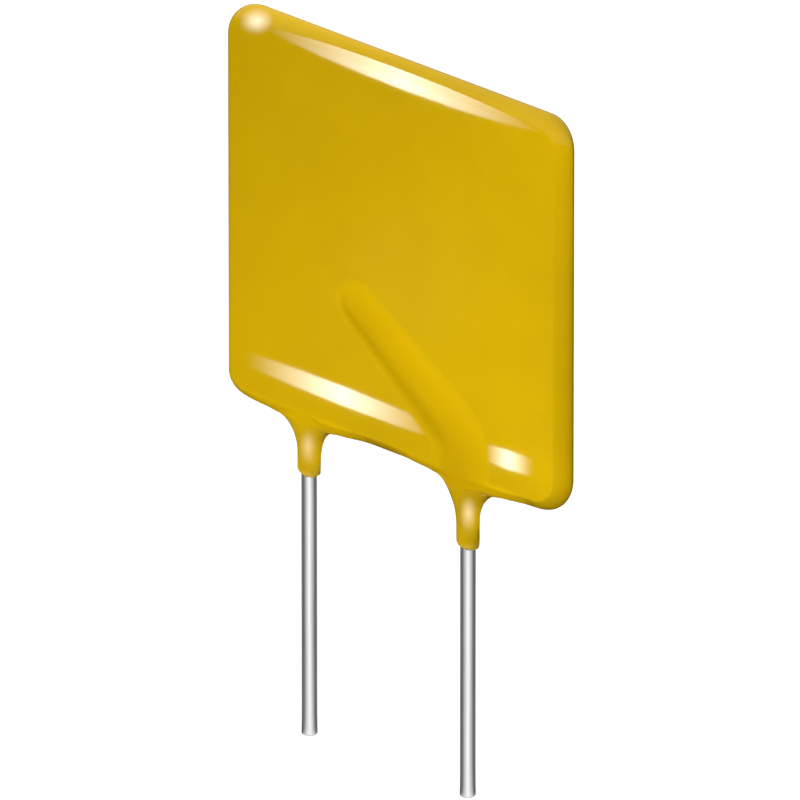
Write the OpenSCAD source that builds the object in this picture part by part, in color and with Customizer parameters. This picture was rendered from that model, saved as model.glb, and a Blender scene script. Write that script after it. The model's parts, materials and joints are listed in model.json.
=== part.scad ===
// Resettable fuse: a radial-leaded polymer positive-temperature-coefficient disc with a dipped epoxy coat.
// Millimetres. +Z up, front face to -Y. The origin is on the seating plane, midway between the leads.

/* [Chip] */
// Width of the square chip, left to right
chip_w = 10; // [7:0.1:14]
// Height of the square chip
chip_h = 10; // [7:0.1:14]
// Thickness of the polymer sheet
sheet_t = 0.14; // [0.12:0.02:0.6]
// Thickness of each electrode foil
foil_t = 0.03; // [0.02:0.01:0.06]

/* [Coat] */
// Coat over each face of the chip
coat_face_t = 0.25; // [0.15:0.01:0.5]
// Coat beyond each edge of the chip
coat_edge_t = 0.45; // [0.3:0.05:0.8]
// Corner radius of the coat seen from the front
coat_corner_r = 0.95; // [0.6:0.05:2]
// Height of the coated body's lower edge above the seating plane
body_lift = 1.84; // [1.6:0.02:3]
// Sideways offset of the body from the middle of the leads
body_shift = 0.42; // [-0.6:0.02:0.6]
// Gap left round each buried piece
bond = 0.01; // [0.005:0.005:0.02]

/* [Coat over the leads] */
// Film on the lead at a leg's lower end
sleeve_wall = 0.09; // [0.04:0.01:0.12]
// Radius of the drawn-down curve from the lower edge into a leg
flare_r = 1.05; // [0.5:0.05:1.4]
// Height of the rear leg's lower end above the seating plane
rear_leg_gap = 0.32; // [0:0.02:0.5]
// Slant of the legs' lower ends
leg_end_tilt = 18; // [0:1:25]
// How far a leg's lower end tapers down to the wire, measured on the wire's centre line
leg_end_taper = 0.12; // [0.05:0.01:0.2]
// Coat over the wire at the crest of a ridge
ridge_cover = 0.07; // [0.06:0.01:0.2]
// Spread of a ridge's foot on the face, to each side
ridge_foot = 0.92; // [0.6:0.02:1.2]

/* [Leads] */
// Distance between the leads
lead_pitch = 5.1; // [4:0.1:7]
// Wire diameter
lead_d = 0.4; // [0.3:0.02:0.6]
// Bare length below the seating plane
lead_len = 6.9; // [3:0.1:20]
// Height above the seating plane where the wire starts its set
set_start = 0.5; // [0.3:0.05:0.8]
// Straight length in the middle of the set
set_link = 0.3; // [0.1:0.05:0.6]
// Thinning of the wire's radius in its bends
bend_neck = 0.002; // [0.001:0.001:0.005]
// Inner wire corner above the chip's lower edge
corner_rise = 0.93; // [0.6:0.01:1.6]
// Radius of the wire's bend over the face, on its centre line
bend_r = 0.9; // [0.7:0.05:1.4]
// Angle of the bend
bend_angle = 52; // [30:1:60]
// Length of the slanting run, from the corner to the wire's end
run_len = 4.1; // [2.5:0.1:5.5]

/* [Solder] */
// Solder film between wire and foil
solder_film = 0.03; // [0.02:0.01:0.05]
// Width of the fillet's foot on the foil
solder_w = 0.9; // [0.7:0.05:1.2]
// Thickness of the fillet at its toe
solder_toe = 0.03; // [0.02:0.01:0.05]
// Radius of the fillet's hollow flank
solder_flank_r = 0.22; // [0.18:0.01:0.3]
// Solder beyond the end of the wire
solder_tail = 0.2; // [0.1:0.05:0.4]
// Solder hanging below the foil's lower edge
solder_lip = 0.04; // [0.02:0.01:0.06]

/* [Hidden] */
$fn = 24;

// Chip and body
chip_t = sheet_t + 2 * foil_t;
body_w = chip_w + 2 * coat_edge_t;
body_h = chip_h + 2 * coat_edge_t;
body_t = chip_t + 2 * coat_face_t;
edge_r = body_t / 2;
chip_low = body_lift + coat_edge_t;

// Wire path: straight, a gentle set from the middle plane to the face, a short rise, a bend, a slanting run
lead_r = lead_d / 2;
lead_x = lead_pitch / 2;
wire_out = chip_t / 2 + solder_film + lead_r;
set_end = chip_low - solder_lip - 4 * bond;
set_rise = set_end - set_start;
set_angle = 2 * atan(wire_out / (set_rise + set_link));
set_r = (set_rise - set_link * cos(set_angle)) / (2 * sin(set_angle));
set_arc_y = set_r * (1 - cos(set_angle));
set_arc_z = set_r * sin(set_angle);
// How far each bend runs on into the straight wire at its ends
bend_lap = 0.03;
bend_tangent = bend_r * tan(bend_angle / 2);
corner_z = chip_low + corner_rise;
bend_z = corner_z - bend_tangent;
run_x = lead_x - bend_r * (1 - cos(bend_angle));
run_z = bend_z + bend_r * sin(bend_angle);
run_straight = run_len - bend_tangent;

// Coat over the wire
sleeve_r = lead_r + sleeve_wall;
end_drop = sleeve_r * tan(leg_end_tilt);
crest = max(wire_out + lead_r + ridge_cover, edge_r + 0.02);
ridge_sink = 0.02;
flare_top = body_lift + 0.02;

// How far the wire's centre line has moved out from the middle plane at height z
function wire_y(z) =
    z <= set_start ? 0 :
    z < set_start + set_arc_z ? set_r - sqrt(pow(set_r, 2) - pow(z - set_start, 2)) :
    z < set_end - set_arc_z ? set_arc_y + (z - set_start - set_arc_z) * tan(set_angle) :
    z < set_end ? wire_out - set_r + sqrt(pow(set_r, 2) - pow(set_end - z, 2)) :
    wire_out;

// Film on the wire at height z: thin at a leg's end, thicker where the leg joins the body
function film(z) =
    let (k = min(max((z - set_start) / (body_lift - set_start), 0), 1))
    sleeve_wall + (ridge_cover - ridge_sink - sleeve_wall) * k;

// Share of the flare at height z: 0 on the straight leg, 1 where its hollow curve meets the lower edge
function flare_share(z) =
    let (drop = min(max(body_lift - z, 0), flare_r))
    1 - sqrt(pow(flare_r, 2) - pow(flare_r - drop, 2)) / flare_r;

ring_step = 15;
ring_n = 360 / ring_step;
function ring(x, y, half_w, half_t, z) =
    [for (a = [0 : ring_step : 359]) [x + half_w * cos(a), y + half_t * sin(a), z]];

// Rings of the tube of coat that follows the wire, from the slanted, tapered lower end up into the ridge
function end_ring(x, low) = concat(
    [[x, 0, low + end_drop - leg_end_taper]],
    [for (p = ring(x, 0, sleeve_r, sleeve_r, low + end_drop))
        [p[0], p[1], p[2] - (p[0] - x) * tan(leg_end_tilt)]]
);
function tube_ring(x, z, side) =
    let (r = lead_r + film(z))
    ring(x, -side * wire_y(z), r * (1 + 0.3 * flare_share(z)), r, z);

// Rings of the flare that joins the leg to the body's lower edge; it grows out of a core inside the tube
core_r = lead_r + sleeve_wall / 2;
function flare_ring(x, z) =
    let (
        k = flare_share(z),
        lift = min(max((z - body_lift) / edge_r, 0), 1),
        half_w = core_r + (sleeve_r + flare_r - core_r) * k,
        half_t = core_r + (edge_r * (0.78 + 0.12 * lift) - core_r) * k
    )
    ring(x, 0, half_w, half_t, z);

module skin_over(rings) {
    for (i = [0 : len(rings) - 2]) {
        hull() {
            polyhedron(
                concat(rings[i], rings[i + 1]),
                [[for (j = [0 : len(rings[i]) + len(rings[i + 1]) - 1]) j]]
            );
        }
    }
}

// A form swept through rings of equally many points
module swept(rings) {
    m = len(rings[0]);
    n = len(rings);
    polyhedron(
        [for (r = rings) each r],
        concat(
            [[for (j = [m - 1 : -1 : 0]) j]],
            [for (i = [0 : n - 2]) for (j = [0 : m - 1]) each [
                [i * m + j, (i + 1) * m + (j + 1) % m, (i + 1) * m + j],
                [i * m + j, i * m + (j + 1) % m, (i + 1) * m + (j + 1) % m]]],
            [[for (j = [0 : m - 1]) (n - 1) * m + j]]
        )
    );
}

// One leg of the coat. side is 1 for the front lead on the right, -1 for the rear lead on the left.
module leg(side, low) {
    x = side * lead_x;
    start = low + 2 * end_drop + 0.05;
    skin_over(concat(
        [end_ring(x, low)],
        [for (t = [0 : 0.125 : 1]) tube_ring(x, start + (bend_z - 0.08 - start) * t, side)]
    ));
    skin_over(concat(
        [for (t = [1 : -0.125 : 0]) flare_ring(x, flare_top - flare_r * pow(t, 1.7))],
        [flare_ring(x, body_lift + edge_r)]
    ));
}

// Stations of a ridge, from its rounded end along the run and the bend, then over the body's lower edge.
// Each is [x, y, z of the foot's middle, direction across, direction out, spread, height].
ridge_h = crest - edge_r + ridge_sink;
function out_of_edge(a) = [0, -cos(a), -sin(a)];
ridge_tip = [for (t = [80 : -20 : 0])
    let (d = run_straight + ridge_foot * 0.55 * sin(t))
    [[run_x - d * sin(bend_angle), 0, run_z + d * cos(bend_angle)],
     [cos(bend_angle), 0, sin(bend_angle)], out_of_edge(0), ridge_foot * cos(t), ridge_h * pow(cos(t), 2)]];
ridge_bend = [for (a = [bend_angle : -bend_angle / 8 : -0.01])
    [[lead_x - bend_r * (1 - cos(a)), 0, bend_z + bend_r * sin(a)],
     [cos(a), 0, sin(a)], out_of_edge(0), ridge_foot, ridge_h]];
ridge_wrap = [for (a = [5 : 14 : 89])
    [[lead_x, 0, body_lift + edge_r], [1, 0, 0], out_of_edge(a), ridge_foot, ridge_h * (1 - 0.35 * a / 90)]];
ridge_stations = concat(ridge_tip, ridge_bend, ridge_wrap);
ridge_n = 16;

// Section of a ridge: a smooth swell that runs out into the face, on a foot inside the body
function ridge_ring(s) = concat(
    [for (i = [0 : ridge_n])
        let (u = 2 * i / ridge_n - 1)
        s[0] + s[1] * u * s[3] + s[2] * (edge_r - ridge_sink + s[4] * pow(cos(90 * u), 2))],
    [s[0] + s[1] * s[3] + s[2] * edge_r / 2,
     s[0] - s[1] * s[3] + s[2] * edge_r / 2]
);

module ridge() {
    swept([for (s = ridge_stations) ridge_ring(s)]);
}

// Square plate with round corners and full-round edges
module plate() {
    translate([body_shift, 0, body_lift + body_h / 2]) {
        hull() {
            for (i = [-1, 1]) {
                for (j = [-1, 1]) {
                    translate([i * (body_w / 2 - coat_corner_r), 0, j * (body_h / 2 - coat_corner_r)]) {
                        rotate([90, 0, 0]) {
                            rotate_extrude($fn = 48) {
                                translate([coat_corner_r - edge_r, 0]) {
                                    circle(edge_r, $fn = 32);
                                }
                            }
                        }
                    }
                }
            }
        }
    }
}

module coat_skin() {
    union() {
        plate();
        ridge();
        rotate([0, 0, 180]) {
            ridge();
        }
        leg(1, 0);
        leg(-1, rear_leg_gap);
    }
}

module slab(y0, t, grow) {
    translate([body_shift - chip_w / 2 - grow, y0 - grow, chip_low - grow]) {
        cube([chip_w + 2 * grow, t + 2 * grow, chip_h + 2 * grow]);
    }
}

// A bend of section radius r about the z axis, from the x axis, lapped into the straight wire at both ends
module bend(at, angle, r) {
    lap = asin(bend_lap / at);
    rotate([0, 0, -lap]) {
        rotate_extrude(angle = angle + 2 * lap, $fn = 48 * sqrt(at)) {
            translate([at, 0]) {
                circle(r - bend_neck, $fn = 24);
            }
        }
    }
}

// One bent wire, as the front lead; grow makes the room for it in the coat
module wire(grow) {
    r = lead_r + grow;
    translate([lead_x, 0, -lead_len]) {
        cylinder(r = r, h = lead_len + set_start);
    }
    translate([lead_x, -set_r, set_start]) {
        rotate([90, 0, 90]) {
            bend(set_r, set_angle, r);
        }
    }
    translate([lead_x, -set_arc_y, set_start + set_arc_z]) {
        rotate([set_angle, 0, 0]) {
            cylinder(r = r, h = set_link);
        }
    }
    translate([lead_x, set_r - wire_out, set_end]) {
        rotate([180, 0, 0]) {
            rotate([90, 0, 90]) {
                bend(set_r, set_angle, r);
            }
        }
    }
    translate([lead_x, -wire_out, set_end]) {
        cylinder(r = r, h = bend_z - set_end);
    }
    translate([lead_x - bend_r, -wire_out, bend_z]) {
        rotate([90, 0, 0]) {
            bend(bend_r, bend_angle, r);
        }
    }
    translate([run_x, -wire_out, run_z]) {
        rotate([0, -bend_angle, 0]) {
            cylinder(r = r, h = run_straight + grow);
        }
    }
}

// Fillet section: foot on the foil along x, rising along y, with hollow flanks
module fillet_section(grow) {
    difference() {
        translate([-solder_w / 2 - grow, -grow]) {
            square([solder_w + 2 * grow, solder_film + lead_r + 2 * grow]);
        }
        for (i = [-1, 1]) {
            translate([i * (solder_w / 2 + grow), solder_toe + solder_flank_r]) {
                circle(solder_flank_r - grow, $fn = 20);
            }
        }
    }
}

module fillet(grow) {
    lap = asin(bend_lap / bend_r);
    translate([lead_x, -chip_t / 2, chip_low - solder_lip - grow]) {
        linear_extrude(bend_z - chip_low + solder_lip + grow) {
            mirror([0, 1]) {
                fillet_section(grow);
            }
        }
    }
    translate([lead_x - bend_r, -chip_t / 2, bend_z]) {
        rotate([90, 0, 0]) {
            rotate([0, 0, -lap]) {
                rotate_extrude(angle = bend_angle + 2 * lap, $fn = 48) {
                    translate([bend_r, 0]) {
                        fillet_section(grow - bend_neck);
                    }
                }
            }
        }
    }
    translate([run_x, -chip_t / 2, run_z]) {
        rotate([0, -bend_angle, 0]) {
            linear_extrude(run_straight + solder_tail + grow) {
                mirror([0, 1]) {
                    fillet_section(grow);
                }
            }
        }
    }
}

module solder() {
    difference() {
        fillet(0);
        wire(bond);
    }
}

// Room in the coat for a wire and its solder. Stations are [middle, direction across, direction out].
function run_point(d) = [run_x - d * sin(bend_angle), 0, run_z + d * cos(bend_angle)];
function bend_point(a) = [lead_x - bend_r * (1 - cos(a)), 0, bend_z + bend_r * sin(a)];
function across(a) = [cos(a), 0, sin(a)];
function out_of_set(t) = [0, -cos(t), -sin(t)];
on_face = [0, -wire_out, 0];
wire_stations = concat(
    [[[lead_x, 0, -0.5], across(0), out_of_set(0)]],
    [for (t = [0 : set_angle / 4 : set_angle + 0.01])
        [[lead_x, -set_r * (1 - cos(t)), set_start + set_r * sin(t)], across(0), out_of_set(t)]],
    [for (t = [set_angle : -set_angle / 4 : -0.01])
        [[lead_x, set_r * (1 - cos(t)) - wire_out, set_end - set_r * sin(t)], across(0), out_of_set(t)]],
    [for (a = [0 : bend_angle / 8 : bend_angle + 0.01])
        [bend_point(a) + on_face, across(a), out_of_set(0)]],
    [[run_point(run_straight + bond) + on_face, across(bend_angle), out_of_set(0)]]
);

module wire_room() {
    r = (lead_r + bond) / cos(ring_step / 2);
    swept([for (i = [0 : len(wire_stations) - 1])
        [for (j = [0 : ring_n - 1])
            let (
                s = wire_stations[i],
                a = (j - i / 2) * ring_step
            )
            s[0] + s[1] * r * cos(a) + s[2] * r * sin(a)]]);
}

solder_top = solder_film + lead_r + bond;
flank_room_r = solder_flank_r - bond;
flank_end = asin(min((solder_top - solder_toe - solder_flank_r) / flank_room_r, 0.95));
flank = [for (t = [0 : 0.2 : 1])
    let (a = -90 + (flank_end + 90) * t)
    [solder_w / 2 + bond - flank_room_r * cos(a), solder_toe + solder_flank_r + flank_room_r * sin(a)]];
solder_outline = concat(
    [[-solder_w / 2 - bond, -bond], [solder_w / 2 + bond, -bond]],
    flank,
    [for (i = [len(flank) - 1 : -1 : 0]) [-flank[i][0], flank[i][1]]]
);
solder_stations = concat(
    [[[lead_x, 0, chip_low - solder_lip - bond], across(0)]],
    [for (i = [0.5 : 6.5]) [bend_point(bend_angle * i / 7), across(bend_angle * i / 7)]],
    [[run_point(run_straight + solder_tail + bond), across(bend_angle)]]
);

module solder_room() {
    swept([for (s = solder_stations)
        [for (p = solder_outline) s[0] + s[1] * p[0] + [0, -chip_t / 2 - p[1], 0]]]);
}

module epoxy_coating() {
    color([0.81, 0.65, 0.04]) {
        difference() {
            coat_skin();
            slab(-chip_t / 2, chip_t, bond);
            wire_room();
            solder_room();
            rotate([0, 0, 180]) {
                wire_room();
                solder_room();
            }
        }
    }
}

module ptc_polymer_sheet() {
    color([0.07, 0.07, 0.07]) {
        slab(-sheet_t / 2, sheet_t, 0);
    }
}

module front_electrode_foil() {
    color([0.62, 0.60, 0.56]) {
        slab(-chip_t / 2, foil_t, 0);
    }
}

module rear_electrode_foil() {
    color([0.62, 0.60, 0.56]) {
        slab(sheet_t / 2, foil_t, 0);
    }
}

module front_lead() {
    color([0.80, 0.80, 0.81]) {
        wire(0);
    }
}

module rear_lead() {
    color([0.80, 0.80, 0.81]) {
        rotate([0, 0, 180]) {
            wire(0);
        }
    }
}

module front_solder_fillet() {
    color([0.70, 0.71, 0.72]) {
        solder();
    }
}

module rear_solder_fillet() {
    color([0.70, 0.71, 0.72]) {
        rotate([0, 0, 180]) {
            solder();
        }
    }
}

epoxy_coating();
ptc_polymer_sheet();
front_electrode_foil();
rear_electrode_foil();
front_lead();
rear_lead();
front_solder_fillet();
rear_solder_fillet();
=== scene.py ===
import json
import math

import bpy
import numpy as np
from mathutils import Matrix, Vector


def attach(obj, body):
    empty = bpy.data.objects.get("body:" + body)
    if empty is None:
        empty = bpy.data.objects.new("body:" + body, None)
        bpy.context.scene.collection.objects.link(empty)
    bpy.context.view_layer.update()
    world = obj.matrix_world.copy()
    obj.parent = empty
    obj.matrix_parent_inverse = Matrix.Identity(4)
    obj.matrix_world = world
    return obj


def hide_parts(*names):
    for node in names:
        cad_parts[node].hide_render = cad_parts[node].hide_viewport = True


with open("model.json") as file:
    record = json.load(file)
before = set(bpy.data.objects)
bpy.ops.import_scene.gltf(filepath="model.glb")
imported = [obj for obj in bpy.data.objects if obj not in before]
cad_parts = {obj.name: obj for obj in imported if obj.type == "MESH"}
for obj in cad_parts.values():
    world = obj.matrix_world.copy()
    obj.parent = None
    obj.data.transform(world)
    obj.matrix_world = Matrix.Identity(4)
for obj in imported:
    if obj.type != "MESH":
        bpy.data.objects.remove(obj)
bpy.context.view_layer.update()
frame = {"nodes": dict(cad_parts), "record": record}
scene = bpy.context.scene
scene.view_settings.view_transform = "Standard"

# Lengths below are in millimetres, as in the part's source; MM turns them into metres.
MM = 0.001

# Body
BODY_W = 10.9
BODY_H = 10.9
HALF_T = 0.35
# Corner radii as the photo shows them: (left, right) at the top and at the bottom
TOP_CORNERS = (0.95, 0.85)
LOW_CORNERS = (0.70, 1.05)
BODY_LIFT = 1.84
BODY_SHIFT = 0.42
BODY_MID_Z = BODY_LIFT + BODY_H / 2
# Powers of the edge's section: across (2 is round, less is creased where it leaves the face) and through
EDGE_POWER = (2.0, 2.0)
SIDE_POWER = (1.08, 1.6)
LOW_POWER = (1.12, 1.6)

# Leads
LEAD_X = 2.55
LEAD_R = 0.2
LEAD_LEN = 6.9
END_ROUND = 0.02
# The wire's set: how far out of the middle plane it goes, between which heights, and its straight link
WIRE_OUT = 0.33
SET_START = 0.5
SET_END = 2.21
SET_LINK = 0.3
# The bend on the foil and the slanting run after it; the corner is where the two straight lines would meet
BEND_R = 0.9
BEND_ANGLE = math.radians(52)
BEND_TANGENT = BEND_R * math.tan(BEND_ANGLE / 2)
COAT_EDGE_T = 0.45
CORNER_RISE = 0.93
RUN_LEN = 4.1
BEND_Z = BODY_LIFT + COAT_EDGE_T + CORNER_RISE - BEND_TANGENT
RUN_STRAIGHT = RUN_LEN - BEND_TANGENT
BEND_MID_X = LEAD_X - BEND_R
RUN_DIR = (-math.sin(BEND_ANGLE), math.cos(BEND_ANGLE))
RUN_START = (BEND_MID_X + BEND_R * math.cos(BEND_ANGLE), BEND_Z + BEND_R * math.sin(BEND_ANGLE))

# Coat over the leads. Side 1 is the right-hand leg and -1 the left-hand one.
SLEEVE_R = 0.29
RIDGE_COVER = 0.07
RIDGE_FOOT = 0.92
TIP_FOOT = 0.68
FACE_LOW = BODY_LIFT + HALF_T
# The curves that draw the coat down to each leg: height below the body in which the coat thins, radii at the
# leg's (left, right), how far above the body's lower edge they start, and the least drop that they count with
FLARE_R = 1.05
FLARES = {1: (0.88, 1.2), -1: (0.88, 1.02)}
FLARE_LIFT = 0.04
FLARE_LEAST = 0.002
# Where a curve ends on the face: height above FACE_LOW at the lead, its drop beside the lead, the distance
# from which and over which it drops, and the cut's steepness
FLARE_TOP = 0.05
FLARE_TOP_DROP = 0.12
FLARE_TOP_FADE = 0.3
FLARE_CUT = 4
# Width over which a curve melts into the plate: next to nothing at the lead, then more by this at its
# (left, right), from this distance on and over this width
MELT_LEAST = 0.002
MELT = (0.12, 0.278)
MELT_START = 0.35
MELT_FADE = 0.6
# The legs' lower ends: height, slant, round-over, and half width and top of the room in which they are cut
LEG_LOW = {1: 0.0, -1: 0.32}
LEG_TILT = math.tan(math.radians(18))
LEG_ROUND = 0.03
LEG_ROOM_W = 1.0
LEG_ROOM_TOP = 1.2
# The lower edge's crease fades in from this distance beside a lead, over this width
CREASE_START = 1.2
CREASE_FADE = 0.8


def smooth_min(a, b, k):
    """The lower of two fields, rounded over a width of k where they are close."""
    h = np.clip(0.5 + 0.5 * (b - a) / k, 0, 1)
    return b + (a - b) * h - k * h * (1 - h)


def wire_path():
    """Centre line of the front lead, from its tip up, as [x, y, z]."""
    set_rise = SET_END - SET_START
    angle = 2 * math.atan(WIRE_OUT / (set_rise + SET_LINK))
    r = (set_rise - SET_LINK * math.cos(angle)) / (2 * math.sin(angle))
    pts = [(LEAD_X, 0, z) for z in np.linspace(-LEAD_LEN, SET_START, 24)]
    for t in np.linspace(0, angle, 9)[1:]:
        pts.append((LEAD_X, -r * (1 - math.cos(t)), SET_START + r * math.sin(t)))
    for t in np.linspace(angle, 0, 9):
        pts.append((LEAD_X, r * (1 - math.cos(t)) - WIRE_OUT, SET_END - r * math.sin(t)))
    for a in np.linspace(0, BEND_ANGLE, 15):
        pts.append((BEND_MID_X + BEND_R * math.cos(a), -WIRE_OUT, BEND_Z + BEND_R * math.sin(a)))
    for d in np.linspace(0, RUN_STRAIGHT, 10)[1:]:
        pts.append((RUN_START[0] + RUN_DIR[0] * d, -WIRE_OUT, RUN_START[1] + RUN_DIR[1] * d))
    return np.array(pts)


WIRE = wire_path()
# The rear lead is the front one turned half round about the upright axis
TURN = np.array([-1, -1, 1])


def path_distance(x, z):
    """Distance of (x, z) from the front lead's line, seen from the front, as a share of the ridge's foot."""
    low = np.hypot(x - LEAD_X, np.maximum(z - BEND_Z, 0))
    rx, rz = x - BEND_MID_X, z - BEND_Z
    turn = np.arctan2(rz, rx)
    bend = np.where((turn >= 0) & (turn <= BEND_ANGLE), np.abs(np.hypot(rx, rz) - BEND_R), 1e3)
    dx, dz = x - RUN_START[0], z - RUN_START[1]
    along = np.clip(dx * RUN_DIR[0] + dz * RUN_DIR[1], 0, RUN_STRAIGHT)
    run = np.hypot(dx - along * RUN_DIR[0], dz - along * RUN_DIR[1])
    foot = RIDGE_FOOT + (TIP_FOOT - RIDGE_FOOT) * along / RUN_STRAIGHT
    return np.minimum(np.minimum(low, bend) / RIDGE_FOOT, run / foot)


def ease(t):
    """A smooth step from 0 to 1."""
    t = np.clip(t, 0, 1)
    return t * t * (3 - 2 * t)


def plain_half(z):
    """Half thickness at a lead's middle line without the wire: from the leg's up to the plate's."""
    return SLEEVE_R + (HALF_T - SLEEVE_R) * ease((z - BODY_LIFT + FLARE_R) / (FACE_LOW - BODY_LIFT + FLARE_R))


def swell(x, z):
    """How many times thicker the coat is on the wire's side than the plain coat there."""
    risen = ease((z - SET_START) / (SET_END - SET_START))
    out = WIRE_OUT * risen
    bare = SLEEVE_R - LEAD_R
    cover = bare + (RIDGE_COVER - bare) * risen
    share = np.clip(path_distance(x, z), 0, 1)
    return 1 + np.maximum((out + LEAD_R + cover) / plain_half(z) - 1, 0) * np.cos(share * math.pi / 2) ** 2


def plate_field(x, y, z):
    """The plate, below 0 inside: its own radius at each corner, and its own edge section at each side."""
    corner = np.where(
        z > BODY_MID_Z,
        np.where(x > BODY_SHIFT, TOP_CORNERS[1], TOP_CORNERS[0]),
        np.where(x > BODY_SHIFT, LOW_CORNERS[1], LOW_CORNERS[0]),
    )
    qx = np.abs(x - BODY_SHIFT) - (BODY_W / 2 - corner)
    qz = np.abs(z - BODY_MID_Z) - (BODY_H / 2 - corner)
    ux, uz = np.maximum(qx, 0), np.maximum(qz, 0)
    reach = np.hypot(ux, uz)
    outside = reach + np.minimum(np.maximum(qx, qz), 0) - corner
    edge = np.maximum(outside + HALF_T, 0) / HALF_T
    total = np.maximum(reach, 1e-9) ** 2
    right = np.where(x > BODY_SHIFT, ux**2 / total, 0)
    clear = ease((np.abs(np.abs(x) - LEAD_X) - CREASE_START) / CREASE_FADE)
    low = np.where(z < BODY_MID_Z, uz**2 / total, 0) * clear
    across, through = (
        plain + (side - plain) * right + (under - plain) * low
        for plain, side, under in zip(EDGE_POWER, SIDE_POWER, LOW_POWER)
    )
    return HALF_T * ((edge**across + (np.abs(y) / HALF_T) ** through) ** (1 / through) - 1)


def flare_field(x, y, z, side):
    """One leg with the drawn-down curve that joins it to the body's lower edge."""
    dx = x - side * LEAD_X
    left, right = FLARES[side]
    r = np.where(dx > 0, right, left)
    drop = np.clip(BODY_LIFT + FLARE_LIFT - z, FLARE_LEAST, r)
    half_w = SLEEVE_R + r - np.sqrt(np.maximum(r**2 - (r - drop) ** 2, 0))
    half_t = plain_half(z)
    leg = (np.hypot(dx / half_w, y / half_t) - 1) * half_t
    top = FACE_LOW + FLARE_TOP - FLARE_TOP_DROP * ease((np.abs(dx) - FLARE_TOP_FADE) / FLARE_TOP_FADE)
    return np.maximum(leg, FLARE_CUT * (z - top))


def coat_field(p):
    """The whole coat at points p, below 0 inside: the plate and both legs, swollen over the wires."""
    x, y, z = p[:, 0], p[:, 1], p[:, 2]
    thick = np.where(y < 0, swell(x, z), swell(-x, z))
    flat_y = y / thick
    f = plate_field(x, flat_y, z)
    for side in (1, -1):
        dx = x - side * LEAD_X
        more = np.where(dx > 0, MELT[1], MELT[0])
        melt = MELT_LEAST + more * ease((np.abs(dx) - MELT_START) / MELT_FADE)
        f = smooth_min(f, flare_field(x, flat_y, z, side), melt)
        near = (np.abs(dx) < LEG_ROOM_W) & (z < LEG_ROOM_TOP)
        end = LEG_LOW[side] + SLEEVE_R * LEG_TILT - dx * LEG_TILT - z
        f = np.where(near, -smooth_min(-f, -end, LEG_ROUND), f)
    return f


def field_grad(p, h=1e-4):
    """The coat field's slope at points p, by steps of h."""
    g = np.empty_like(p)
    for i in range(3):
        step = np.zeros(3)
        step[i] = h
        g[:, i] = (coat_field(p + step) - coat_field(p - step)) / (2 * h)
    return g


def grid_line(*spans):
    """Grid lines from (start, end, step) spans that follow each other."""
    parts = []
    for a, b, step in spans:
        n = max(1, round((b - a) / step))
        parts.append(np.linspace(a, b, n, endpoint=False))
    parts.append([spans[-1][1]])
    return np.concatenate(parts)


def surface_net(xs, ys, zs):
    """A quad mesh of the coat's surface: one vertex in each grid cell that it passes through."""
    nx, ny, nz = len(xs), len(ys), len(zs)
    gx, gy, gz = np.meshgrid(xs, ys, zs, indexing="ij")
    coords = np.stack([gx, gy, gz], axis=-1)
    pts = coords.reshape(-1, 3)
    values = np.concatenate([coat_field(part) for part in np.array_split(pts, 24)]).reshape(nx, ny, nz)
    corners = [(i, j, k) for i in (0, 1) for j in (0, 1) for k in (0, 1)]
    total = np.zeros((nx - 1, ny - 1, nz - 1, 3))
    count = np.zeros((nx - 1, ny - 1, nz - 1))

    def cut(a):
        return tuple(slice(c, c + n - 1) for c, n in zip(a, (nx, ny, nz)))

    for a in corners:
        for axis in range(3):
            if a[axis]:
                continue
            b = tuple(c + (i == axis) for i, c in enumerate(a))
            va, vb = values[cut(a)], values[cut(b)]
            crossed = (va < 0) != (vb < 0)
            t = np.where(crossed, va / np.where(crossed, va - vb, 1), 0)[..., None]
            total += np.where(crossed[..., None], coords[cut(a)] * (1 - t) + coords[cut(b)] * t, 0)
            count += crossed
    used = count > 0
    index = np.full(used.shape, -1)
    index[used] = np.arange(used.sum())
    verts = total[used] / count[used][:, None]
    quads = []
    inside = values < 0
    for axis in range(3):
        u, v = (axis + 1) % 3, (axis + 2) % 3
        low = [slice(1, -1)] * 3
        low[axis] = slice(0, -1)
        high = [slice(1, -1)] * 3
        high[axis] = slice(1, None)
        crossed = inside[tuple(low)] != inside[tuple(high)]
        flip = inside[tuple(low)][crossed]
        cell = np.argwhere(crossed)
        cell[:, u] += 1
        cell[:, v] += 1

        def at(du, dv):
            c = cell.copy()
            c[:, u] -= du
            c[:, v] -= dv
            return index[c[:, 0], c[:, 1], c[:, 2]]

        ring = np.stack([at(1, 1), at(0, 1), at(0, 0), at(1, 0)], axis=1)
        ring[~flip] = ring[~flip][:, ::-1]
        quads.append(ring)
    return verts, np.concatenate(quads)


def relax(verts, quads, rounds):
    """Evens out the mesh along the surface, and puts each vertex back on the surface."""
    edges = np.concatenate([quads[:, [0, 1]], quads[:, [1, 2]], quads[:, [2, 3]], quads[:, [3, 0]]])
    edges = np.concatenate([edges, edges[:, ::-1]])
    degree = np.bincount(edges[:, 0], minlength=len(verts))[:, None]
    for i in range(rounds + 1):
        if i:
            columns = [np.bincount(edges[:, 0], verts[edges[:, 1], c], len(verts)) for c in range(3)]
            shift = np.stack(columns, axis=1) / degree - verts
            g = field_grad(verts)
            n = g / np.linalg.norm(g, axis=1)[:, None]
            verts = verts + 0.5 * (shift - n * np.sum(shift * n, axis=1)[:, None])
        for _ in range(2):
            g = field_grad(verts)
            step = coat_field(verts) / np.maximum(np.sum(g * g, axis=1), 0.05)
            verts = verts - np.clip(step, -0.05, 0.05)[:, None] * g
    g = field_grad(verts)
    return verts, g / np.linalg.norm(g, axis=1)[:, None]


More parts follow.
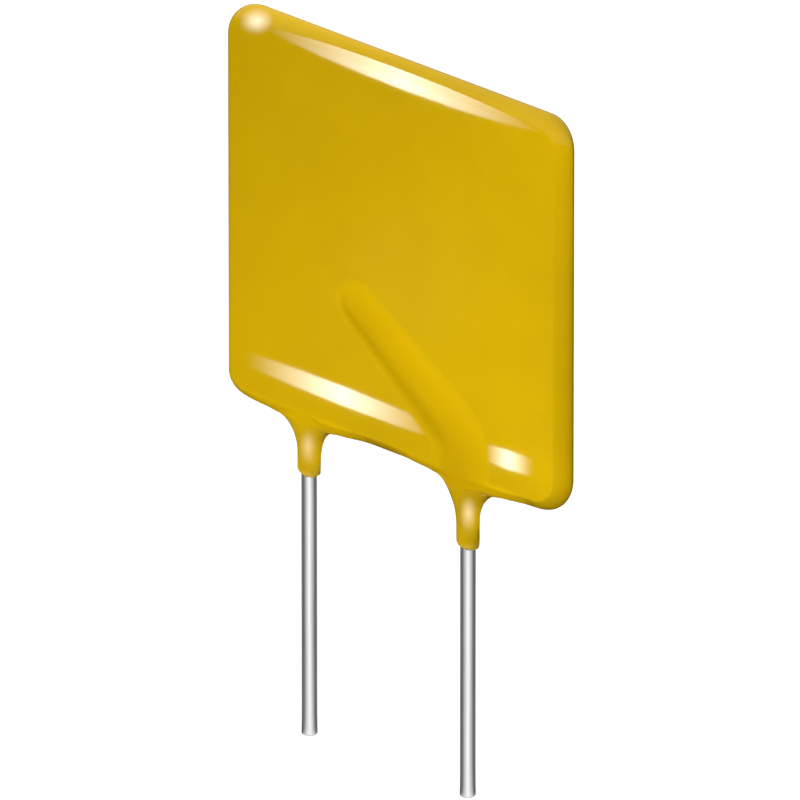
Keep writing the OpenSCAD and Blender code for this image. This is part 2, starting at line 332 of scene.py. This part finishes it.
def new_object(name, verts, faces, smooth=False):
    """A linked mesh object from places in millimetres."""
    mesh = bpy.data.meshes.new(name)
    mesh.from_pydata((np.asarray(verts) * MM).tolist(), [], [list(map(int, f)) for f in faces])
    mesh.update()
    for poly in mesh.polygons:
        poly.use_smooth = smooth
    obj = bpy.data.objects.new(name, mesh)
    scene.collection.objects.link(obj)
    return obj


def make_coat():
    """The coat's mesh, with fine cells at the edges, legs and ridges."""
    fine, medium, coarse = 0.05, 0.07, 0.2
    margin, edge_w, deepest = 0.12, 0.9, 0.75
    left, right = BODY_SHIFT - BODY_W / 2, BODY_SHIFT + BODY_W / 2
    low, ridge_low, ridge_top, top = -0.15, 3.4, 7.2, BODY_LIFT + BODY_H
    top_edge = top - TOP_CORNERS[0]
    xs = grid_line(
        (left - margin, left + edge_w, fine),
        (left + edge_w, right - edge_w, medium),
        (right - edge_w, right + margin, fine),
    )
    ys = grid_line((-deepest, deepest, fine))
    zs = grid_line(
        (low, ridge_low, fine),
        (ridge_low, ridge_top, medium),
        (ridge_top, top_edge, coarse),
        (top_edge, top + margin, fine),
    )
    verts, quads = surface_net(xs, ys, zs)
    verts, normals = relax(verts, quads, 4)
    obj = new_object("epoxy_coat", verts, quads, smooth=True)
    obj.data.normals_split_custom_set_from_vertices(normals.tolist())
    # Shares from 0 to 1 for the material. Each ease() runs over the width that it divides by.
    x, y, z = verts.T
    distance = np.where(y < 0, path_distance(x, z), path_distance(-x, z))
    # Dull over the ridges and on the lower edge near the leads, but not on the legs
    ridge = ease((1.1 - distance) / 0.12)
    low_edge = ease((2.3 - np.abs(np.abs(x) - LEAD_X)) / 0.4) * ease((2.32 - z) / 0.12)
    matte = np.maximum(ridge, low_edge) * ease((z - 1.5) / 0.4)
    # Satin on the legs
    satin = ease((BODY_LIFT + 0.15 - z) / 0.4)
    # Painted shade over the ridges on the wires, darkest along each crest and fading out towards the legs
    thin = np.cos(np.clip(distance, 0, 1) * math.pi / 2) ** 2 * ease((z - 1.6) / 0.6)
    for key, values in (("matte", matte), ("satin", satin), ("thin", thin)):
        obj.data.attributes.new(key, "FLOAT", "POINT").data.foreach_set("value", values.tolist())
    return obj


def make_lead(name, turned):
    """A drawn wire: a swept round section with a sheared lower end."""
    n = 64
    keep = np.concatenate([[True], np.linalg.norm(np.diff(WIRE, axis=0), axis=1) > 1e-6])
    path = WIRE[keep]
    tangent = np.gradient(path, axis=0)
    tangent /= np.linalg.norm(tangent, axis=1)[:, None]
    rings = []
    across = np.array([1.0, 0.0, 0.0])
    angles = np.arange(n) * 2 * math.pi / n
    for p, t in zip(path, tangent):
        across = across - t * (across @ t)
        across /= np.linalg.norm(across)
        rings.append((p, across, np.cross(t, across), t))
    # Stations are (ring, radius, shift along the wire), with a small round-over at each end
    stations = []
    for a in np.linspace(0, math.pi / 2, 5)[:-1]:
        stations.append((rings[0], LEAD_R - END_ROUND * (1 - math.sin(a)), END_ROUND * (1 - math.cos(a))))
    stations.append((rings[0], LEAD_R, END_ROUND))
    stations += [(r, LEAD_R, 0) for r in rings[1:-1]]
    for less, back in ((0, 1), (0.6, 0.3), (1, 0)):
        stations.append((rings[-1], LEAD_R - less * END_ROUND, -back * END_ROUND))
    verts = []
    for (p, u, v, t), r, lift in stations:
        for a in angles:
            verts.append(p + t * lift + u * r * math.cos(a) + v * r * math.sin(a))
    faces = []
    for i in range(len(stations) - 1):
        for j in range(n):
            k = (j + 1) % n
            faces.append((i * n + j, i * n + k, (i + 1) * n + k, (i + 1) * n + j))
    # End faces: rings towards the middle, with a faint shear step on the lower one
    for base, station, sign in ((0, stations[0], 1), ((len(stations) - 1) * n, stations[-1], -1)):
        (p, u, v, t), r, lift = station
        ring = list(range(base, base + n))
        for share in (0.66, 0.33):
            start = len(verts)
            for a in angles:
                dish = 0.006 * (1 - share) * sign * (1 if math.sin(a + 0.6) > 0 else 0.35)
                inward = r * share
                verts.append(p + t * (lift + dish) + u * inward * math.cos(a) + v * inward * math.sin(a))
            inner = list(range(start, start + n))
            for j in range(n):
                k = (j + 1) % n
                faces.append((ring[j], inner[j], inner[k], ring[k])[::sign])
            ring = inner
        middle = len(verts)
        verts.append(p + t * (lift + 0.005 * sign))
        for j in range(n):
            faces.append((ring[j], middle, ring[(j + 1) % n])[::sign])
    verts = np.array(verts)
    if turned:
        verts = verts * TURN
    return new_object(name, verts, faces, smooth=True)


class Nodes:
    """Short helpers for a material's node tree."""

    def __init__(self, name):
        self.mat = bpy.data.materials.new(name)
        self.mat.use_nodes = True
        self.tree = self.mat.node_tree
        self.bsdf = self.tree.nodes["Principled BSDF"]
        self.out = self.tree.nodes["Material Output"]

    def add(self, kind, **values):
        node = self.tree.nodes.new(kind)
        for key, value in values.items():
            setattr(node, key, value)
        return node

    def link(self, a, b):
        self.tree.links.new(a, b)

    def object_coords(self, scale):
        coords = self.add("ShaderNodeTexCoord")
        mapping = self.add("ShaderNodeMapping")
        mapping.inputs["Scale"].default_value = scale
        self.link(coords.outputs["Object"], mapping.inputs["Vector"])
        return mapping.outputs["Vector"]

    def noise(self, vector, scale, detail=2.0, rough=0.5):
        node = self.add("ShaderNodeTexNoise")
        node.inputs["Scale"].default_value = scale
        node.inputs["Detail"].default_value = detail
        node.inputs["Roughness"].default_value = rough
        self.link(vector, node.inputs["Vector"])
        return node.outputs["Fac"]

    def ramp(self, fac, stops):
        node = self.add("ShaderNodeValToRGB")
        ramp = node.color_ramp
        while len(ramp.elements) < len(stops):
            ramp.elements.new(0.5)
        for element, (at, colour) in zip(ramp.elements, stops):
            element.position = at
            element.color = (*colour, 1)
        self.link(fac, node.inputs["Fac"])
        return node.outputs["Color"]

    def range(self, value, low, high, from_low=0.0, from_high=1.0):
        node = self.add("ShaderNodeMapRange")
        for key, v in (("From Min", from_low), ("From Max", from_high), ("To Min", low), ("To Max", high)):
            node.inputs[key].default_value = v
        self.link(value, node.inputs["Value"])
        return node.outputs["Result"]

    def maximum(self, *values):
        total = values[0]
        for value in values[1:]:
            node = self.add("ShaderNodeMath", operation="MAXIMUM")
            self.link(total, node.inputs[0])
            self.link(value, node.inputs[1])
            total = node.outputs[0]
        return total

    def bump(self, height, strength, distance):
        node = self.add("ShaderNodeBump")
        node.inputs["Strength"].default_value = strength
        node.inputs["Distance"].default_value = distance
        self.link(height, node.inputs["Height"])
        self.link(node.outputs["Normal"], self.bsdf.inputs["Normal"])


# Object coordinates times this are millimetres
PER_MM = (1000, 1000, 1000)


def epoxy_material():
    n = Nodes("epoxy_yellow")
    vec = n.object_coords(PER_MM)
    mottle = n.noise(vec, 0.55, 3.0, 0.55)
    colour = n.ramp(mottle, [
        (0.30, (0.600, 0.372, 0.0020)),
        (0.55, (0.622, 0.388, 0.0018)),
        (0.75, (0.645, 0.402, 0.0018)),
    ])
    # Painted shade: the coat's colour is darkened over the ridges on the wires
    ridge_shade_mix = n.add("ShaderNodeMix", data_type="RGBA", blend_type="MULTIPLY")
    thin = n.add("ShaderNodeAttribute", attribute_name="thin").outputs["Fac"]
    # A mix node's sockets for colours: 0 is the factor, 6 and 7 the colours, and 2 the result
    n.link(thin, ridge_shade_mix.inputs[0])
    n.link(colour, ridge_shade_mix.inputs[6])
    # How far the painted shade darkens the colour at a ridge's crest
    ridge_shade_mix.inputs[7].default_value = (0.88, 0.86, 0.9, 1)
    n.link(ridge_shade_mix.outputs[2], n.bsdf.inputs["Base Color"])
    gloss = n.range(n.noise(vec, 2.2, 3.0, 0.5), 0.06, 0.09, 0.3, 0.7)
    satin = n.add("ShaderNodeAttribute", attribute_name="satin").outputs["Fac"]
    matte = n.add("ShaderNodeAttribute", attribute_name="matte").outputs["Fac"]
    dull = n.range(matte, 0.0, 0.5, 0.6, 1.0)
    n.link(n.maximum(gloss, n.range(satin, 0.0, 0.18), dull), n.bsdf.inputs["Roughness"])
    n.link(n.range(matte, 0.5, 0.0), n.bsdf.inputs["Specular IOR Level"])
    n.bsdf.inputs["IOR"].default_value = 1.5
    peel = n.noise(vec, 1.2, 2.0, 0.4)
    n.bump(peel, 0.04, 0.02 * MM)
    return n.mat


def tin_material():
    n = Nodes("tinned_wire")
    n.bsdf.inputs["Metallic"].default_value = 1.0
    # Drawn lines, stretched along the wire
    lines = n.noise(n.object_coords((1000, 1000, 28)), 14.0, 2.0, 0.6)
    colour = n.ramp(lines, [
        (0.30, (0.76, 0.76, 0.77)),
        (0.52, (0.84, 0.84, 0.85)),
        (0.74, (0.90, 0.90, 0.91)),
    ])
    n.link(colour, n.bsdf.inputs["Base Color"])
    cloud = n.noise(n.object_coords((1000, 1000, 500)), 1.1, 2.0, 0.5)
    n.link(n.range(cloud, 0.15, 0.21, 0.3, 0.7), n.bsdf.inputs["Roughness"])
    n.bump(lines, 0.02, 0.004 * MM)
    return n.mat


def plain_material(name, dark, light, metallic, rough, scale):
    n = Nodes(name)
    n.bsdf.inputs["Metallic"].default_value = metallic
    grain = n.noise(n.object_coords(PER_MM), scale, 3.0, 0.55)
    n.link(n.ramp(grain, [(0.32, dark), (0.68, light)]), n.bsdf.inputs["Base Color"])
    n.link(n.range(grain, rough - 0.06, rough + 0.06, 0.3, 0.7), n.bsdf.inputs["Roughness"])
    n.bump(grain, 0.15, 0.004 * MM)
    return n.mat


# Pieces
coat = make_coat()
front_lead = make_lead("front_lead_wire", False)
rear_lead = make_lead("rear_lead_wire", True)

coat.data.materials.append(epoxy_material())
tin = tin_material()
for lead in (front_lead, rear_lead):
    lead.data.materials.append(tin)

polymer = plain_material("conductive_polymer", (0.010, 0.010, 0.011), (0.022, 0.022, 0.023), 0.0, 0.6, 6.0)
foil = plain_material("electrode_foil", (0.46, 0.44, 0.40), (0.60, 0.57, 0.52), 1.0, 0.38, 9.0)
solder = plain_material("solder", (0.55, 0.56, 0.57), (0.70, 0.71, 0.72), 1.0, 0.3, 4.0)
for node, material in (
    ("ptc_polymer_sheet", polymer),
    ("front_electrode_foil", foil),
    ("rear_electrode_foil", foil),
    ("front_solder_fillet", solder),
    ("rear_solder_fillet", solder),
    ("epoxy_coating", coat.data.materials[0]),
    ("front_lead", tin),
    ("rear_lead", tin),
):
    mesh = frame["nodes"][node].data
    mesh.materials.clear()
    mesh.materials.append(material)

SLOTS = {m["slot"] for m in frame["record"]["materials"]}


def dress(piece, node, slot):
    assert slot in SLOTS, slot
    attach(piece, "root")
    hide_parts(node)


dress(coat, "epoxy_coating", "yellow_epoxy")
dress(front_lead, "front_lead", "tinned_copper")
dress(rear_lead, "rear_lead", "tinned_copper")

# Camera, far off so that it sees the part almost without perspective, as the photo does
AZIMUTH = math.radians(39.85)
ELEVATION = math.radians(27.3)
DISTANCE = 800.0
IMAGE_PX = 800
SENSOR_W = 36
PX_PER_MM = 40.66
TARGET = Vector((0.371, 0, 3.342))
view = Vector((
    math.sin(AZIMUTH) * math.cos(ELEVATION),
    -math.cos(AZIMUTH) * math.cos(ELEVATION),
    math.sin(ELEVATION),
))
CAMERA_PLACE = TARGET + view * DISTANCE
CAMERA_RIGHT = Vector((math.cos(AZIMUTH), math.sin(AZIMUTH), 0))
CAMERA_UP = CAMERA_RIGHT.cross(-view)
camera_data = bpy.data.cameras.new("camera")
camera_data.sensor_width = SENSOR_W
camera_data.lens = SENSOR_W * DISTANCE / (IMAGE_PX / PX_PER_MM)
camera_data.clip_start = 0.01
camera_data.clip_end = 10
camera = bpy.data.objects.new("camera", camera_data)
camera.location = CAMERA_PLACE * MM
camera.rotation_euler = (-view).to_track_quat("-Z", "Y").to_euler()
scene.collection.objects.link(camera)
scene.camera = camera

# Stage
FLOOR_Z = -LEAD_LEN - 0.005


def make_floor():
    half = 3000
    corners = [(-half, -half, 0), (half, -half, 0), (half, half, 0), (-half, half, 0)]
    obj = new_object("floor", corners, [(0, 1, 2, 3)])
    obj.location.z = FLOOR_Z * MM
    n = Nodes("floor_white")
    n.bsdf.inputs["Base Color"].default_value = (0.30, 0.30, 0.30, 1)
    n.bsdf.inputs["Roughness"].default_value = 0.9
    n.bsdf.inputs["Specular IOR Level"].default_value = 0.0
    path = n.add("ShaderNodeLightPath")
    seen = n.maximum(*(path.outputs[f"Is {ray} Ray"] for ray in ("Camera", "Glossy", "Transmission")))
    n.bsdf.inputs["Emission Color"].default_value = (1, 1, 1, 1)
    n.link(n.range(seen, 0.0, 0.88), n.bsdf.inputs["Emission Strength"])
    obj.data.materials.append(n.mat)


def make_world():
    world = bpy.data.worlds.new("studio")
    scene.world = world
    world.use_nodes = True
    tree = world.node_tree
    background = tree.nodes["Background"]
    path = tree.nodes.new("ShaderNodeLightPath")
    either = tree.nodes.new("ShaderNodeMath")
    either.operation = "MAXIMUM"
    tree.links.new(path.outputs["Is Camera Ray"], either.inputs[0])
    tree.links.new(path.outputs["Is Transmission Ray"], either.inputs[1])
    strength = tree.nodes.new("ShaderNodeMapRange")
    strength.inputs["To Min"].default_value = 0.40
    strength.inputs["To Max"].default_value = 1.0
    tree.links.new(either.outputs[0], strength.inputs["Value"])
    tree.links.new(strength.outputs["Result"], background.inputs["Strength"])
    background.inputs["Color"].default_value = (1, 1, 1, 1)


def add_lamp(data, place, watts, aim=None):
    """Links a lamp that neither the camera nor a reflection sees."""
    data.energy = watts
    obj = bpy.data.objects.new(data.name, data)
    obj.location = Vector(place) * MM
    if aim:
        obj.rotation_euler = (Vector(aim) - Vector(place)).to_track_quat("-Z", "Y").to_euler()
    obj.visible_camera = False
    obj.visible_glossy = False
    scene.collection.objects.link(obj)


def area_light(name, place, watts):
    """One of the large soft lamps of the studio."""
    data = bpy.data.lights.new(name, "AREA")
    data.size = 60 * MM
    add_lamp(data, place, watts, (0, 0, 6))


def near_light(name, place, size, watts):
    """A small fill lamp near the part."""
    data = bpy.data.lights.new(name, "POINT")
    data.shadow_soft_size = size * MM
    add_lamp(data, place, watts)


def leg_light(name, leg_x):
    """A narrow lamp on a leg's right-hand side."""
    data = bpy.data.lights.new(name, "SPOT")
    data.spot_size = math.radians(22)
    data.spot_blend = 1.0
    data.shadow_soft_size = 0.2 * MM
    add_lamp(data, (leg_x + 3.2, 0.9, -0.8), 0.0003, (leg_x + 0.2, 0, 1.15))


def reflection_card(name, verts, faces, glow, strength, adds):
    """A card seen only in reflections, with its brightness at each vertex.

    One that adds lets the reflections behind it through; the others hide them.
    """
    obj = new_object(name, verts, faces)
    attribute = obj.data.attributes.new("glow", "FLOAT", "POINT")
    attribute.data.foreach_set("value", [float(v) for v in glow])
    n = Nodes(name)
    n.tree.nodes.remove(n.bsdf)
    shine = n.add("ShaderNodeEmission")
    share = n.add("ShaderNodeAttribute", attribute_name="glow").outputs["Fac"]
    n.link(n.range(share, 0, strength), shine.inputs["Strength"])
    surface = shine.outputs[0]
    if adds:
        both = n.add("ShaderNodeAddShader")
        n.link(surface, both.inputs[0])
        n.link(n.add("ShaderNodeBsdfTransparent").outputs[0], both.inputs[1])
        surface = both.outputs[0]
    n.link(surface, n.out.inputs["Surface"])
    obj.data.materials.append(n.mat)
    obj.visible_camera = False
    obj.visible_diffuse = False
    obj.visible_shadow = False
    obj.visible_transmission = False
    obj.visible_volume_scatter = False


def seen_on_coat(u, v, on_face):
    """Points of the coat at picture places (u, v), in pixels, with the surface's and the view's directions.

    With on_face they are taken on the flat front face, as if the ridge weren't there.
    """
    u, v = np.ravel(u), np.ravel(v)
    eye = np.array(CAMERA_PLACE)
    aim = (
        np.array(TARGET)
        + np.outer((u - IMAGE_PX / 2) / PX_PER_MM, np.array(CAMERA_RIGHT))
        - np.outer((v - IMAGE_PX / 2) / PX_PER_MM, np.array(CAMERA_UP))
    )
    way = (aim - eye) / np.linalg.norm(aim - eye, axis=1)[:, None]
    if on_face:
        p = eye + way * ((-HALF_T - eye[1]) / way[:, 1])[:, None]
        return p, np.array([[0.0, -1.0, 0.0]]), way
    # From 1 mm in front of the middle plane to 1 mm behind it, and then in halves to the surface
    start = (-1.0 - eye[1]) / way[:, 1]
    steps = np.linspace(0, 2.0 / way[:, 1].mean(), 160)
    values = np.stack([coat_field(eye + way * (start + d)[:, None]) for d in steps])
    first = np.argmax(values < 0, axis=0)
    assert (values.min(axis=0) < 0).all(), "a highlight lies off the coat"
    near, far = start + steps[first - 1], start + steps[first]
    for _ in range(24):
        middle = (near + far) / 2
        hit = coat_field(eye + way * middle[:, None]) < 0
        near, far = np.where(hit, near, middle), np.where(hit, middle, far)
    p = eye + way * far[:, None]
    g = field_grad(p)
    return p, g / np.linalg.norm(g, axis=1)[:, None], way


# How quickly a highlight fades from its middle
FADE_POWER = 1.4


def highlight(name, u, v, glow, distance, strength, on_face=False):
    """A card whose reflection in the coat covers the picture places u, v, two grids of pixels."""
    p, normal, way = seen_on_coat(u, v, on_face)
    bounce = way - 2 * normal * np.sum(way * normal, axis=1)[:, None]
    rows, cols = u.shape
    faces = [
        (i * cols + j, i * cols + j + 1, (i + 1) * cols + j + 1, (i + 1) * cols + j)
        for i in range(rows - 1)
        for j in range(cols - 1)
    ]
    reflection_card(name, p + bounce * distance, faces, np.ravel(glow + 0 * u), strength, True)


def bar(name, start, end, half_h, bow, distance, strength, on_face=False):
    """A lens-shaped highlight from start to end, in pixels, fading from its middle to its ends."""
    t = np.linspace(0, 1, 41)[:, None]
    row = np.linspace(-1, 1, 7)[None, :]
    s = np.abs(2 * t - 1)
    u = start[0] + (end[0] - start[0]) * t + 0 * row
    v = start[1] + (end[1] - start[1]) * t + half_h * (1 - bow * s**2.5) * row
    highlight(name, u, v, (1 - s) ** FADE_POWER, distance, strength, on_face)


def spot(name, middle, half_w, half_h, distance, strength):
    """A soft round highlight."""
    r = np.linspace(0, 1, 9)[:, None]
    a = np.linspace(0, 2 * math.pi, 25)[None, :]
    u = middle[0] + half_w * r * np.cos(a)
    v = middle[1] + half_h * r * np.sin(a)
    highlight(name, u, v, (1 - r) ** FADE_POWER, distance, strength)


def wire_screen(name, x, top):
    """A round screen about a lead, with a ring on the floor inside it, for the lead's reflections.

    It is bright on the camera's side and behind, and dark at the sides.
    """
    a = np.linspace(-math.pi, math.pi, 73)
    front, behind = 1 - np.abs(a) / 1.55, 1 - (math.pi - np.abs(a)) / 1.2
    glow = np.maximum(np.maximum(0.13, front), behind)
    way_x = math.sin(AZIMUTH) * np.cos(a) + math.cos(AZIMUTH) * np.sin(a)
    way_y = -math.cos(AZIMUTH) * np.cos(a) + math.sin(AZIMUTH) * np.sin(a)
    low, radius = FLOOR_Z + 0.02, 2.4
    rings = ((LEAD_R, low), (radius, low), (radius, top))
    verts = [(x + r * wx, r * wy, z) for r, z in rings for wx, wy in zip(way_x, way_y)]
    n = len(a)
    faces = [
        (i * n + j, i * n + j + 1, (i + 1) * n + j + 1, (i + 1) * n + j)
        for i in range(len(rings) - 1)
        for j in range(n - 1)
    ]
    reflection_card(name, verts, faces, np.tile(glow, len(rings)), 1.2, False)


# Where the dark cards end, far outside the part
FAR = 400


def dark_card(name, inner, outer, z):
    """A level card from one x to another that hides the pale floor from reflections."""
    corners = [(inner, -FAR, z), (outer, -FAR, z), (outer, FAR, z), (inner, FAR, z)]
    reflection_card(name, corners, [(0, 1, 2, 3)], [0] * 4, 1.0, False)


make_floor()
make_world()
area_light("key", (45, -167, 106), 0.203)
area_light("left", (-193, 0, 58), 0.19)
area_light("back", (-40, 170, 100), 0.20)
near_light("top_fill", (-4, 2, 20), 0.5, 0.0009)
near_light("right_fill", (10, -6, 14), 0.5, 0.00069)
near_light("middle_fill", (3, -6, 6.2), 0.5, 0.00036)
near_light("low_fill", (-4, -6, 3), 1.8, 0.0003)
near_light("corner_fill", (5.2, -2.4, 2.8), 0.3, 0.000045)
leg_light("leg_fill_right", LEAD_X)
leg_light("leg_fill_left", -LEAD_X)

# What the coat and the wires mirror. Each of the coat's dark cards lies at about the height of its leg's end,
# and just above the screen of that leg's wire. The one on the floor is for the rims of the wires' lower ends.
dark_card("coat_flag_right", -1.5, FAR, 0.20)
dark_card("coat_flag_left", 0, -FAR, 0.52)
dark_card("floor_flag", -FAR, FAR, FLOOR_Z + 0.01)
wire_screen("wire_screen_right", LEAD_X, 0.18)
wire_screen("wire_screen_left", -LEAD_X, 0.50)
bar("top_bar", (262, 26.7), (542, 132.6), 9.5, 0.95, 2.5, 18)
bar("low_bar", (246, 358.3), (437, 432.6), 9.5, 0.3, 2.5, 18, on_face=True)
bar("short_bar", (484, 451.5), (533, 468.6), 9.5, 0.15, 2.5, 18, on_face=True)
spot("corner_spot", (257, 21), 18, 14, 2.5, 17)
spot("left_leg_spot", (308, 447), 9, 20, 0.2, 7)
spot("right_leg_spot", (468, 514), 9, 20, 0.2, 9)
